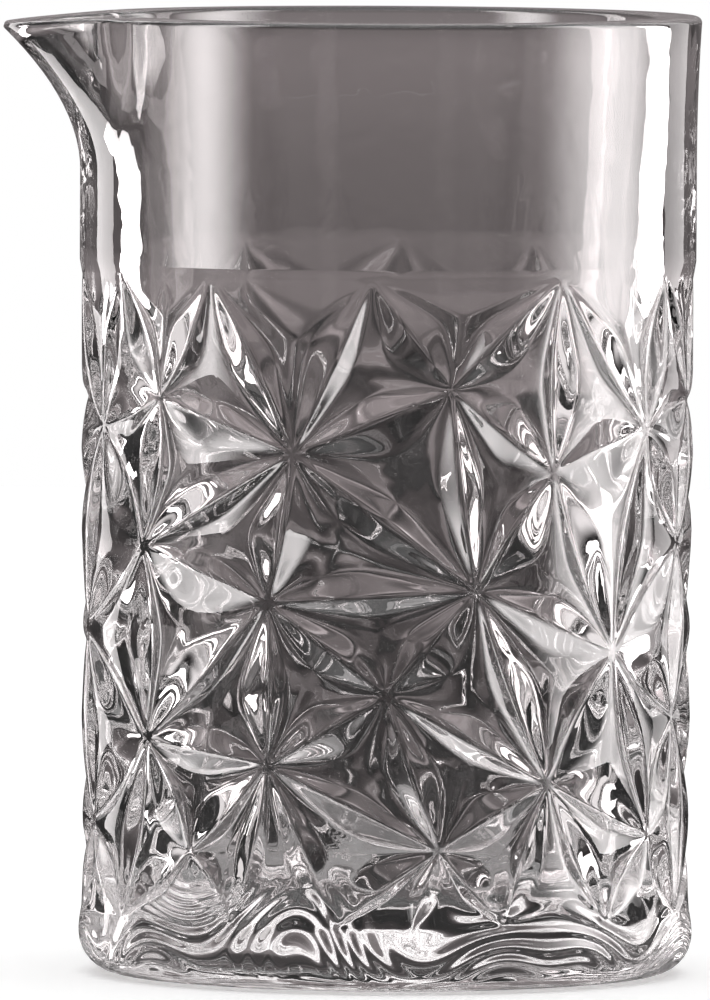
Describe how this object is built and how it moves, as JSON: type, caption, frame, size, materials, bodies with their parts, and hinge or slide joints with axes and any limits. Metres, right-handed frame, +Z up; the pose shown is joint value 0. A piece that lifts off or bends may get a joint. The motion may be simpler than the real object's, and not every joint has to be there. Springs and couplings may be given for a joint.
{
  "type": "mixing glass",
  "caption": "Heavy clear-glass beaker for stirring drinks, with a star-cut faceted wall, a thick base, a plain collar and a pouring lip pulled out of the rim.",
  "frame": {"origin": "centre of the flat foot, on the axis of the glass", "axes": "+Z up along the axis, -X towards the pouring lip, -Y towards the viewer of the picture"},
  "size_m": [0.1094, 0.098, 0.15],
  "materials": {
    "clear_glass": "clear pressed glass, fire polished"
  },
  "bodies": {
    "root": {"base": "clear_glass", "star_wall": "clear_glass", "collar": "clear_glass", "pouring_lip": "clear_glass"}
  },
  "joints": []
}
